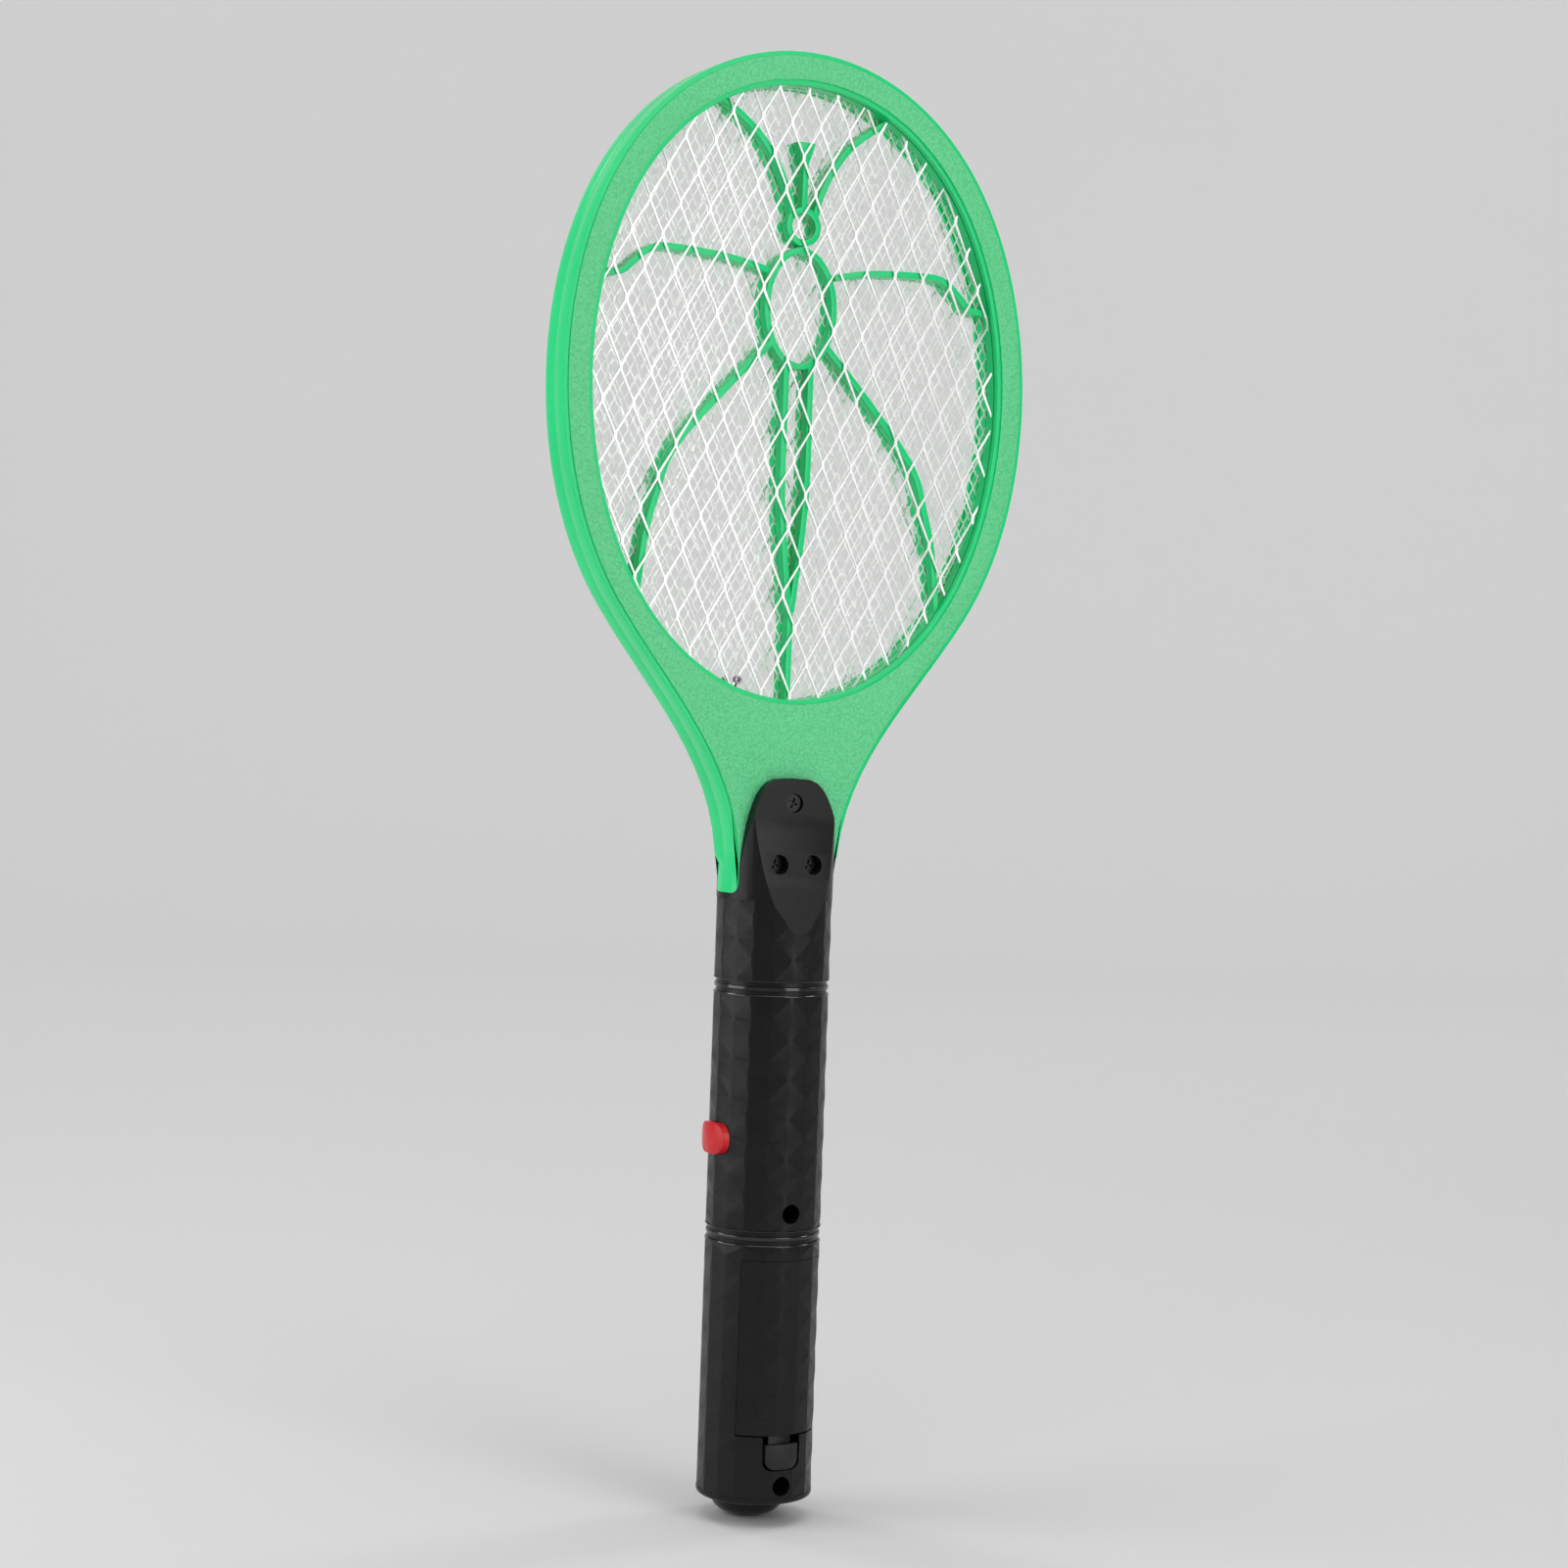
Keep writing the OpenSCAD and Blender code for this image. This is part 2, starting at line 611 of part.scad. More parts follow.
module tongue_shape(by) {
    polygon(concat([[edge_half - by, tongue_z - handle_r]], tongue_side(by),
        [for (i = [11:-1:0]) [-tongue_side(by)[i][0], tongue_side(by)[i][1]]], [[by - edge_half, tongue_z - handle_r]]));
}

// The hollow that thins a tongue towards its top
module throat(deeper) {
    translate([-big / 2, -throat_c[0], throat_c[1]]) rotate([0, 90, 0])
        cylinder(r = throat_r + deeper, h = big, $fn = 180);
}

module shell_blank() {
    difference() {
        union() {
            handle_round();
            intersection() {
                rod_z(handle_r, tongue_z - 1, tongue_top_z + 1);
                plate(-handle_r - 1, 0) tongue_shape(0);
            }
        }
        block(-big, big, 0, big, -1, tongue_top_z + 2);
        along_x(-big, big) slot_shape(slot_half, slot_z, ear_corner_r);
        throat(0);
    }
}

module shell_space() {
    difference() {
        union() {
            rod_z(bore_r, base_z + handle_wall, slot_floor_z);
            intersection() {
                rod_z(bore_r, slot_floor_z - 1, tongue_top_z);
                plate(-handle_r, -slot_half) tongue_shape(handle_wall);
            }
        }
        throat(handle_wall);
        for (s = concat(screw_spots, handle_spots)) rod_y(s, boss_r, -big, 1);
    }
}

module shell_half(cap_y) {
    difference() {
        shell_blank();
        shell_space();
        block(-4.5, 4.5, -4.5, 1, slot_floor_z - 1, slot_z + 1);
        translate([0, cap_y, 0]) rod_z(dome_base_r - 2.2 + gap, base_z - 1, base_z + handle_wall + eps);
        translate([0, 0, button_z]) along_x(-handle_r - 1, -bore_r / 2)
            polygon(round_rect(button_w + 2 * gap, button_h + 2 * gap, button_round + gap));
    }
}

module post(x, z, y0) {
    rod_y([x, z], post_r, -handle_r + post_root, y0);
}

module sector(half_angle) {
    polygon([[0, 0], [-40 * sin(half_angle), -40 * cos(half_angle)], [40 * sin(half_angle), -40 * cos(half_angle)]]);
}

module latch_shape(half, z0, z1, r) {
    polygon(concat(arc([r - half, z0 + r], r, 180, 270), arc([half - r, z0 + r], r, 270, 360), [[half, z1], [-half, z1]]));
}

module handle_rear_shell() {
    color([0.17, 0.17, 0.17]) difference() {
        union() {
            shell_half_with_openings();
            for (x = [-post_x, post_x]) for (z = post_z) post(x, z, board_y);
        }
        for (s = concat(screw_spots, handle_spots)) {
            rod_y(s, head_hole_d / 2, -big, -seat_y);
            rod_y(s, screw_d / 2 + gap, -big, 1);
        }
    }
}

module shell_half_with_openings() {
    difference() {
        shell_half(dome_y);
        translate([0, 0, door_z]) linear_extrude(door_top_z - door_z) difference() {
            sector(door_angle);
            circle(r = bore_r - 1);
        }
        plate(-handle_r - 1, -bore_r / 2) latch_shape(latch_w, latch_z, door_z + eps, 3);
    }
}

// Half discs across the front shell; their tongues reach into the rear shell
module bulkhead(z) {
    difference() {
        union() {
            intersection() {
                rod_z(bore_r + 0.5, z, z + bulkhead_t);
                block(-big, big, 0, big, z - 1, z + 5);
            }
            intersection() {
                rod_z(bore_r - 0.3, z, z + bulkhead_t);
                block(-big, big, -bulkhead_reach, eps, z - 1, z + 5);
            }
        }
        for (x = [-cell_x, cell_x])
            block(x - tab_half - 0.3, x + tab_half + 0.3, tab_y - 0.2, tab_y + plate_t + 0.2, tray_top_z - 1, tray_top_z + 5);
    }
}

module cell_saddle(z) {
    difference() {
        intersection() {
            rod_z(bore_r + 0.5, z, z + bulkhead_t);
            block(-big, big, cell_y + 3, big, z - 1, z + 5);
        }
        for (x = [-cell_x, cell_x]) translate([x, cell_y, 0]) rod_z(cell_d / 2 + gap, z - 1, z + 5);
    }
}

module handle_front_shell() {
    color([0.17, 0.17, 0.17]) difference() {
        union() {
            front() shell_half(-dome_y);
            for (x = [-post_x, post_x]) for (z = post_z) front() post(x, z, -board_y - board_t);
            bulkhead(tray_z - bulkhead_t);
            bulkhead(tray_top_z);
            for (z = [tray_z + saddle_in, tray_top_z - saddle_in]) cell_saddle(z);
        }
        for (s = concat(screw_spots, handle_spots)) rod_y(s, screw_d / 2 + bite_gap, -1, tip_y + 0.3);
    }
}

// ---------- screws ----------
module screw(at) {
    difference() {
        union() {
            rod_y(at, screw_head_d / 2, -seat_y - screw_head_h, -seat_y);
            rod_y(at, screw_d / 2, -seat_y - eps, tip_y);
        }
        for (turn = [0, 90]) translate([at[0], -seat_y - screw_head_h, at[1]]) rotate([0, turn + 20, 0])
            cube([3.2, 1.6, 0.7], center = true);
    }
}

module tongue_screws() {
    color([0.72, 0.72, 0.74]) for (s = screw_spots) screw(s);
}

module handle_screws() {
    color([0.72, 0.72, 0.74]) for (s = handle_spots) screw(s);
}

// ---------- end cap ----------
dome_r = (dome_base_r * dome_base_r + base_z * base_z) / (2 * base_z);
module end_cap() {
    slot_y = handle_screw_z[0] - boss_r - gap;
    color([0.05, 0.05, 0.06]) difference() {
        translate([0, dome_y, 0]) union() {
            intersection() {
                translate([0, 0, dome_r]) sphere(r = dome_r);
                rod_z(dome_base_r, 0, base_z);
            }
            rod_z(dome_base_r - 2.2, base_z - eps, base_z + handle_wall + 0.1);
            rod_z(dome_base_r - 0.2, base_z + handle_wall + 0.1, base_z + handle_wall + 1.1);
        }
        block(-boss_r - gap, boss_r + gap, -big, big, slot_y, slot_y + big);
        translate([0, dome_y, dome_r]) rod_z(dome_base_r - 4, -dome_r / 2 - 2, big);
    }
}

// ---------- battery bay ----------
module wall_piece(r0, r1, z0, z1, half_angle) {
    translate([0, 0, z0]) linear_extrude(z1 - z0) intersection() {
        difference() {
            circle(r = r1);
            circle(r = r0);
        }
        sector(half_angle);
    }
}

guide_x = 4.6;                              // rails that guide the latch
guide_half = 0.6;
hook_x = 7;
hook_half = 2;
hook_in = 2.4;                              // how far the hooks reach inside the shell
hook_h = 3;
lip_h = 2.2;
module battery_door() {
    z0 = door_z + door_swing_gap;
    z1 = door_top_z - gap;
    side_gap = asin(gap / handle_r);
    color([0.17, 0.17, 0.17]) union() {
        wall_piece(bore_r, handle_r, z0, z1, door_angle - side_gap);
        for (s = [-1, 1]) {
            block(s * guide_x - guide_half, s * guide_x + guide_half, -bore_r + 0.4, -bore_r + 3.2, z0 + 2, z0 + 10);
            hook_part(s, bore_r + 0.3, z1 - hook_h, z1);
            hook_part(s, bore_r - 0.2, z1 - 1, z1 + lip_h);
        }
        block(-guide_x - guide_half, guide_x + guide_half, -bore_r + 2.6, -bore_r + 3.6, z0 + 5, z0 + 7);
    }
}

// The door's upper hooks, whose lips lie behind the shell
module hook_part(side, r, z0, z1) {
    intersection() {
        wall_piece(bore_r - hook_in, r, z0, z1, door_angle);
        block(side * hook_x - hook_half, side * hook_x + hook_half, -big, 0, z0, z1);
    }
}

latch_slide_half = 3.8;
module door_latch() {
    pad_half = latch_w - 0.9;
    color([0.22, 0.22, 0.22]) union() {
        intersection() {
            wall_piece(bore_r + 0.2, handle_r - 0.1, latch_z - 1, door_z, 40);
            plate(-big, 0) latch_shape(pad_half, latch_z + 0.35, door_z - 2.4, 3);
        }
        block(-latch_slide_half, latch_slide_half, -bore_r - 0.6, -bore_r + 2.4, latch_z + 2, door_z - 3.4);
        block(-latch_slide_half, latch_slide_half, -bore_r + 0.65, -bore_r + 2.4, latch_z + 2, door_z + 6.6);
    }
}

module cell(x, z, up) {
    c = 0.5;
    r = cell_d / 2;
    body = cell_l - cell_nub_h;
    translate([x, cell_y, z + (up ? 0 : cell_l)]) mirror([0, 0, up ? 0 : 1]) rotate_extrude()
        polygon([[0, 0], [r - c, 0], [r, c], [r, body - c], [r - c, body], [2.75, body], [2.75, cell_l - 0.3],
            [2.4, cell_l], [0, cell_l]]);
}

module battery_left() {
    color([0.16, 0.35, 0.62]) cell(-cell_x, cell_high_z, true);
}

module battery_right() {
    color([0.16, 0.35, 0.62]) cell(cell_x, cell_low_z, false);
}

module bump(x, z, up) {
    translate([x, cell_y, z]) mirror([0, 0, up ? 0 : 1]) cylinder(r1 = 3, r2 = 1.8, h = bump_h);
}

module contact_bridge() {
    color([0.75, 0.76, 0.74]) union() {
        block(-bridge_half_x, bridge_half_x, cell_y - terminal_half, cell_y + terminal_half, tray_z, tray_z + plate_t);
        bump(cell_x, tray_z + plate_t - eps, true);
    }
}

module terminal(x) {
    block(x - terminal_half, x + terminal_half, cell_y - terminal_half, cell_y + terminal_half,
        tray_top_z - plate_t, tray_top_z);
    block(x - tab_half, x + tab_half, tab_y, tab_y + plate_t, tray_top_z - plate_t, tray_top_z + bulkhead_t + 2.5);
}

module positive_terminal() {
    color([0.75, 0.76, 0.74]) union() {
        terminal(-cell_x);
        bump(-cell_x, tray_top_z - plate_t + eps, false);
    }
}

module negative_terminal() {
    color([0.75, 0.76, 0.74]) terminal(cell_x);
}

module coil(x, z) {
    r = 0.4;
    turns = 3;
    translate([x, cell_y, z + r]) tube([for (i = [0:12 * turns]) let (a = 30 * i, s = i / (12 * turns))
        [(4.2 - 1.6 * s) * cos(a), (4.2 - 1.6 * s) * sin(a), s * (spring_l - 2 * r)]], r, 6);
}

module spring_bottom() {
    color([0.78, 0.78, 0.76]) coil(-cell_x, tray_z + plate_t);
}

module spring_top() {
    color([0.78, 0.78, 0.76]) translate([0, 2 * cell_y, 2 * (tray_top_z - plate_t) - spring_l]) rotate([180, 0, 0])
        coil(cell_x, tray_top_z - plate_t - spring_l);
}

module battery_lead_red() {
    color([0.75, 0.12, 0.1]) tube(smooth([for (p = battery_path) [-p[0], p[1], p[2]]], 3), lead_r);
}

module battery_lead_black() {
    color([0.08, 0.08, 0.09]) tube(smooth(battery_path, 3), lead_r);
}

// ---------- button, switch and circuit ----------
module push_button() {
    color([0.86, 0.13, 0.15]) translate([0, 0, button_z]) union() {
        intersection() {
            rod_z(handle_r + button_out, -button_h, button_h);
            along_x(-handle_r - 5, -stem_x) polygon(round_rect(button_w, button_h, button_round));
        }
        intersection() {
            rod_z(bore_r - gap, -button_h, button_h);
            block(-handle_r, -stem_x, -button_w / 2 - 1, button_w / 2 + 1, -button_h / 2 - 1, button_h / 2 + 1);
        }
        block(-stem_x - eps, -plunger_x, -stem_half, stem_half, -stem_half, stem_half);
    }
}

module switch_body() {
    x0 = -plunger_x + 2;
    color([0.12, 0.12, 0.13]) difference() {
        block(x0, x0 + switch_size[0], board_y - switch_size[1], board_y,
            button_z - switch_size[2] / 2, button_z + switch_size[2] / 2);
        block(x0 - 1, x0 + plunger_l, -plunger_half[0] - gap, plunger_half[0] + gap,
            button_z - plunger_half[1] - gap, button_z + plunger_half[1] + gap);
    }
}

module switch_plunger() {
    color([0.85, 0.85, 0.82]) block(-plunger_x + 0.1, -plunger_x + 0.1 + plunger_l, -plunger_half[0], plunger_half[0],
        button_z - plunger_half[1], button_z + plunger_half[1]);
}

module circuit_board() {
    color([0.10, 0.36, 0.20]) block(-board_half_w, board_half_w, board_y, board_y + board_t, board_z[0], board_z[1]);
}

module centred(half) {
    block(-half[0], half[0], -half[1], half[1], -half[2], half[2]);
}

module transformer_core() {
    color([0.16, 0.16, 0.17]) translate([0, core_y, core_z]) difference() {
        centred(core_half);
        for (s = [-1, 1]) translate([s * window_x, 0, 0]) centred(window_half);
    }
}

module transformer_winding() {
    color([0.80, 0.62, 0.20]) translate([0, core_y, core_z]) difference() {
        translate([0, 0, -winding_size[2] / 2]) linear_extrude(winding_size[2])
            polygon(round_rect(winding_size[0], winding_size[1], 2));
        centred([window_x - window_half[0] + gap, core_half[1] + 0.1, winding_size[2]]);
    }
}

module storage_capacitor() {
    color([0.60, 0.22, 0.12]) translate([0, board_y, capacitor_z]) rotate([90, 0, 0])
        linear_extrude(capacitor_size[1]) polygon(round_rect(capacitor_size[0], capacitor_size[2], 1.5));
}

// A round part lying on the board, with its wires bent down to the board
module axial_part(z, size) {
    y = board_y - size[0] - 0.5;
    wire_x = size[1] / 2 + 2;
    translate([-size[1] / 2, y, z]) rotate([0, 90, 0]) cylinder(r = size[0], h = size[1]);
    translate([-wire_x, y, z]) rotate([0, 90, 0]) cylinder(r = axial_lead_r, h = 2 * wire_x);
    for (s = [-1, 1]) rod_y([s * wire_x, z], axial_lead_r, y, board_y);
}

module rectifier_diodes() {
    color([0.10, 0.10, 0.10]) for (z = diode_z) axial_part(z, diode_size);
}

module resistors() {
    color([0.76, 0.66, 0.48]) for (z = resistor_z) axial_part(z, resistor_size);
}

module transistor() {
    color([0.07, 0.07, 0.07]) translate([0, board_y, transistor_z]) rotate([90, 0, 0])
        linear_extrude(transistor_size[1]) intersection() {
            circle(r = transistor_size[0]);
            translate([-transistor_size[0] - 1, -transistor_size[0] * 2 / 3])
                square([2 * transistor_size[0] + 2, 2 * transistor_size[0]]);
        }
}

head_frame_rear();
head_frame_front();
rib_spacer_rear();
rib_spacer_front();
outer_net_rear();
outer_net_front();
center_net();
net_rivet_rear();
net_rivet_front();
net_lead_rear();
net_lead_front();
net_lead_center();
handle_rear_shell();
handle_front_shell();
battery_door();
door_latch();
end_cap();
push_button();
switch_body();
switch_plunger();
circuit_board();
transformer_core();
transformer_winding();
storage_capacitor();
rectifier_diodes();
transistor();
resistors();
battery_left();
battery_right();
contact_bridge();
spring_bottom();
spring_top();
positive_terminal();
negative_terminal();
battery_lead_red();
battery_lead_black();
tongue_screws();
handle_screws();
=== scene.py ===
"""Looks of the electric fly swatter: softly rounded mouldings, a pebble-grained green
hoop, a faceted black handle and bright expanded-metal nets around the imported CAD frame."""

import math
from contextlib import contextmanager

import bmesh
import bpy
from mathutils import Matrix, Vector


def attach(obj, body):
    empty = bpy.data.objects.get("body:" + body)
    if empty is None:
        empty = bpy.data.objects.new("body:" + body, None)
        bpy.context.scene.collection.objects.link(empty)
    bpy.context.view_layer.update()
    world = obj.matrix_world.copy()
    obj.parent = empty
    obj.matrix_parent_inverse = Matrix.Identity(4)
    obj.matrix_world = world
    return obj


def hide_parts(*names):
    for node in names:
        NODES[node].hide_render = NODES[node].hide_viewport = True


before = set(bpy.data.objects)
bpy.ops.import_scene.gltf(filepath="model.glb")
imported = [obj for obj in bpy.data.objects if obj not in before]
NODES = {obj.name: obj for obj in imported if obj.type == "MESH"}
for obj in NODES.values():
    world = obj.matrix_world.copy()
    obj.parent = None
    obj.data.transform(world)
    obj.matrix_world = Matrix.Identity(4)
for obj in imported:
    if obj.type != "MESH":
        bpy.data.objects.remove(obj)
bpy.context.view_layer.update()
MM = 0.001

# ---------------------------------------------------------------- sizes of the frame, in millimetres
RIM_HALF_T, BAND_H = 7.0, 0.6                   # hoop's half thickness, height of its raised band
NET_Y = 4.3                                     # outer nets' distance from the middle plane
OPEN_Z, OPEN_HALF_W, OPEN_HALF_H = 348.3, 71.1, 94.2    # hoop's opening
OPEN_FILL, OPEN_TILT = 1.7, 1.3                 # how far the opening differs from an ellipse
RIVET_X, RIVET_Z = -18.0, 259.6
HANDLE_R = 18.0
GROOVES = (89.1, 165.6)                         # heights of the two groove bands
GROOVE_HALF = 2.3
TONGUE_LOW_Z, TONGUE_TOP_Z = 196.5, 226.2       # from above the grip to above the top screw hole's middle
TONGUE_Y, TONGUE_X = 7.5, 10.2                  # a tongue's sides lie outside these
LATCH_FACE_R = 15.9                             # the latch's outer face lies outside this

# ---------------------------------------------------------------- view
AZIMUTH, ELEVATION, ROLL = (math.radians(a) for a in (-28.94, 1.17, 2.05))
CAMERA_REACH = 0.93885
AIM = Vector((0.00197, 0, 0.22798))
SENSOR, LENS = 36.0, 69.45
FAR_CLIP = 30


def camera_axes():
    back = Vector((math.sin(AZIMUTH) * math.cos(ELEVATION), -math.cos(AZIMUTH) * math.cos(ELEVATION),
                   math.sin(ELEVATION)))
    right = Vector((0, 0, 1)).cross(back).normalized()
    up = back.cross(right)
    return right, up, back


def make_camera():
    right, up, back = camera_axes()
    x = right * math.cos(ROLL) + up * math.sin(ROLL)
    y = up * math.cos(ROLL) - right * math.sin(ROLL)
    data = bpy.data.cameras.new("camera")
    data.sensor_width = SENSOR
    data.lens = LENS
    data.clip_end = FAR_CLIP
    camera = bpy.data.objects.new("camera", data)
    bpy.context.scene.collection.objects.link(camera)
    turn = Matrix((x, y, back)).transposed().to_4x4()
    camera.matrix_world = Matrix.Translation(AIM + back * CAMERA_REACH) @ turn
    bpy.context.scene.camera = camera


# ---------------------------------------------------------------- shader helpers
NOISE_RANGE = (0.3, 0.7)                        # most of a noise texture's values lie between these


class Shader:
    """A principled material whose nodes are added by short calls."""

    def __init__(self, name, colour, roughness, metallic=0.0, **constants):
        self.material = bpy.data.materials.new(name)
        self.material.use_nodes = True
        self.tree = self.material.node_tree
        self.main = self.tree.nodes["Principled BSDF"]
        self.set("Base Color", (*colour, 1))
        self.set("Roughness", roughness)
        self.set("Metallic", metallic)
        for label, value in constants.items():
            self.set(label.replace("_", " "), value)
        self.place = self.node("ShaderNodeTexCoord").outputs["Object"]

    def set(self, label, value):
        self.main.inputs[label].default_value = value

    def node(self, kind, **values):
        made = self.tree.nodes.new(kind)
        for label, value in values.items():
            setattr(made, label, value)
        return made

    def link(self, source, target):
        self.tree.links.new(source, target)

    def noise(self, scale, detail=3.0, rough=0.55, stretch=None):
        made = self.node("ShaderNodeTexNoise")
        made.inputs["Scale"].default_value = scale
        made.inputs["Detail"].default_value = detail
        made.inputs["Roughness"].default_value = rough
        self.link(self.stretched(stretch), made.inputs["Vector"])
        return made.outputs["Fac"]

    def stretched(self, stretch):
        if stretch is None:
            return self.place
        made = self.node("ShaderNodeMapping")
        made.inputs["Scale"].default_value = stretch
        self.link(self.place, made.inputs["Vector"])
        return made.outputs["Vector"]

    def cells(self, scale, feature="F1", jitter=1.0):
        made = self.node("ShaderNodeTexVoronoi", feature=feature)
        made.inputs["Scale"].default_value = scale
        made.inputs["Randomness"].default_value = jitter
        self.link(self.place, made.inputs["Vector"])
        return made.outputs["Distance"]

    def spread(self, value, low, high, to_low, to_high):
        made = self.node("ShaderNodeMapRange")
        limits = {"From Min": low, "From Max": high, "To Min": to_low, "To Max": to_high}
        for label, number in limits.items():
            made.inputs[label].default_value = number
        self.link(value, made.inputs["Value"])
        return made.outputs["Result"]

    def vary_colour(self, value, low, high, between=NOISE_RANGE):
        made = self.node("ShaderNodeValToRGB")
        for stop, colour, position in zip(made.color_ramp.elements, (low, high), between):
            stop.color = (*colour, 1)
            stop.position = position
        self.link(value, made.inputs["Fac"])
        self.link(made.outputs["Color"], self.main.inputs["Base Color"])

    def vary_roughness(self, value, low, high):
        self.link(self.spread(value, *NOISE_RANGE, low, high), self.main.inputs["Roughness"])

    def bump(self, height, distance, strength=1.0, after=None):
        made = self.node("ShaderNodeBump")
        made.inputs["Distance"].default_value = distance
        made.inputs["Strength"].default_value = strength
        self.link(height, made.inputs["Height"])
        if after is not None:
            self.link(after, made.inputs["Normal"])
        self.link(made.outputs["Normal"], self.main.inputs["Normal"])
        return made.outputs["Normal"]


def scaled(colour, by):
    return tuple(c * by for c in colour)


# ---------------------------------------------------------------- materials
GREEN = (0.016, 0.72, 0.235)
# Pebbled face: the green made paler as a painted sheen, lighter on pebble tops as painted highlight,
# darker in the hollows as painted shade
GRAIN_PAINTED_SHADE, GRAIN_PAINTED_HIGHLIGHT = (0.105, 0.63, 0.26), (0.165, 0.76, 0.34)
BLACK = (0.006, 0.006, 0.0064)


def green_smooth():
    s = Shader("green_smooth", GREEN, 0.24, Specular_IOR_Level=0.25)
    s.vary_colour(s.noise(18, 2), scaled(GREEN, 0.94), scaled(GREEN, 1.04))
    s.vary_roughness(s.noise(260, 3), 0.18, 0.26)
    s.bump(s.noise(45, 2), 0.00005, 0.3)
    return s.material


def green_grain_painted_light():
    """Pebbled plastic about a millimetre across, with painted highlight on the pebble tops and painted
    shade in the hollows.
    """
    s = Shader("green_grain_painted_light", GRAIN_PAINTED_SHADE, 0.42, Specular_IOR_Level=0.3)
    pebbles = s.cells(1400, "SMOOTH_F1")
    # painted highlight on the pebble tops, painted shade in the hollows
    s.vary_colour(pebbles, GRAIN_PAINTED_HIGHLIGHT, GRAIN_PAINTED_SHADE, (0.12, 0.62))
    s.vary_roughness(s.noise(420, 2), 0.36, 0.5)
    coarse = s.bump(s.spread(pebbles, 0.0, 1.0, 1.0, 0.0), 0.00022, 0.8)
    s.bump(s.noise(2600, 2), 0.00003, 0.5, coarse)
    return s.material


def handle_black(name, colour, rough_low, rough_high, gloss=0.22):
    s = Shader(name, colour, rough_low, Specular_IOR_Level=gloss)
    s.vary_colour(s.noise(120, 4), scaled(colour, 0.85), scaled(colour, 1.25))
    s.vary_roughness(s.noise(900, 4), rough_low, rough_high)
    s.bump(s.noise(2200, 3), 0.00002, 0.6)
    return s.material


def net_metal(name, colour, rough):
    s = Shader(name, colour, rough, metallic=0.55)
    s.vary_colour(s.noise(900, 3), scaled(colour, 0.86), scaled(colour, 1.0))
    s.vary_roughness(s.noise(1500, 3), rough - 0.08, rough + 0.12)
    s.bump(s.noise(2400, 3), 0.00003, 0.5)
    return s.material


def plated_metal(name, colour, rough):
    s = Shader(name, colour, rough, metallic=1.0)
    s.vary_colour(s.noise(600, 4), scaled(colour, 0.8), colour)
    s.vary_roughness(s.noise(1100, 3, stretch=(1, 1, 6)), rough - 0.06, rough + 0.15)
    s.bump(s.noise(1800, 4, stretch=(1, 1, 8)), 0.00002, 0.6)
    return s.material


def plain_part(name, colour, rough, grain=1500, bump=0.00002, gloss=0.5):
    s = Shader(name, colour, rough, Specular_IOR_Level=gloss)
    s.vary_colour(s.noise(300, 3), scaled(colour, 0.86), scaled(colour, 1.08))
    s.vary_roughness(s.noise(800, 3), rough - 0.06, rough + 0.1)
    s.bump(s.noise(grain, 3), bump, 0.6)
    return s.material


def make_materials():
    return {
        "green": green_smooth(),
        "grain": green_grain_painted_light(),
        "black": handle_black("black_satin", BLACK, 0.26, 0.36),
        "groove": handle_black("black_groove", BLACK, 0.1, 0.16, 0.6),
        "latch": handle_black("black_latch", scaled(BLACK, 3.5), 0.34, 0.44),
        "cap": handle_black("black_gloss", scaled(BLACK, 0.7), 0.08, 0.14, 0.5),
        "net": net_metal("net_bright", (0.94, 0.94, 0.93), 0.38),
        "fine": net_metal("net_fine", (0.94, 0.94, 0.93), 0.5),
        "contact": plated_metal("contact_plate", (0.62, 0.6, 0.56), 0.3),
        "screw": plated_metal("screw_dark", (0.035, 0.035, 0.037), 0.3),
        "rivet": plated_metal("rivet_dark", (0.32, 0.29, 0.33), 0.35),
        "red": plain_part("button_red", (0.6, 0.009, 0.014), 0.28, 900, 0.00003, 0.3),
        "wire_red": plain_part("wire_red", (0.55, 0.02, 0.015), 0.45),
        "wire_black": plain_part("wire_black", (0.02, 0.02, 0.02), 0.45),
        "component": plain_part("component_black", (0.02, 0.02, 0.02), 0.5),
        "plunger": plain_part("plunger_white", (0.7, 0.7, 0.66), 0.45),
        "board": plain_part("board_green", (0.015, 0.14, 0.05), 0.25),
        "ferrite": plain_part("ferrite", (0.05, 0.05, 0.055), 0.6, 1200, 0.00006),
        "winding": plain_part("winding_tape", (0.7, 0.45, 0.05), 0.3),
        "capacitor": plain_part("capacitor_film", (0.4, 0.07, 0.03), 0.25),
        "resistor": plain_part("resistor_tan", (0.55, 0.42, 0.24), 0.4),
        "cell": plain_part("cell_jacket", (0.03, 0.12, 0.35), 0.22),
    }


# ---------------------------------------------------------------- mesh helpers
def new_object(name, vertices, faces, materials):
    mesh = bpy.data.meshes.new(name)
    mesh.from_pydata(vertices, [], faces)
    mesh.update()
    for m in materials:
        mesh.materials.append(m)
    made = bpy.data.objects.new(name, mesh)
    bpy.context.scene.collection.objects.link(made)
    return made


@contextmanager
def editing(obj):
    """The object's mesh, open for changes that are written back at the end."""
    work = bmesh.new()
    work.from_mesh(obj.data)
    yield work
    work.to_mesh(obj.data)
    work.free()


def clean_copy(node, name, materials):
    """A copy of a CAD node's mesh with its flat triangles merged back into whole faces."""
    source = NODES[node].data
    vertices = [v.co.copy() for v in source.vertices]
    made = new_object(name, vertices, [tuple(p.vertices) for p in source.polygons], materials)
    with editing(made) as work:
        bmesh.ops.remove_doubles(work, verts=work.verts, dist=2e-6)
        bmesh.ops.dissolve_degenerate(work, edges=work.edges, dist=1e-6)
        bmesh.ops.dissolve_limit(work, angle_limit=math.radians(0.4), verts=work.verts,
                                 edges=work.edges, use_dissolve_boundaries=False)
    return made


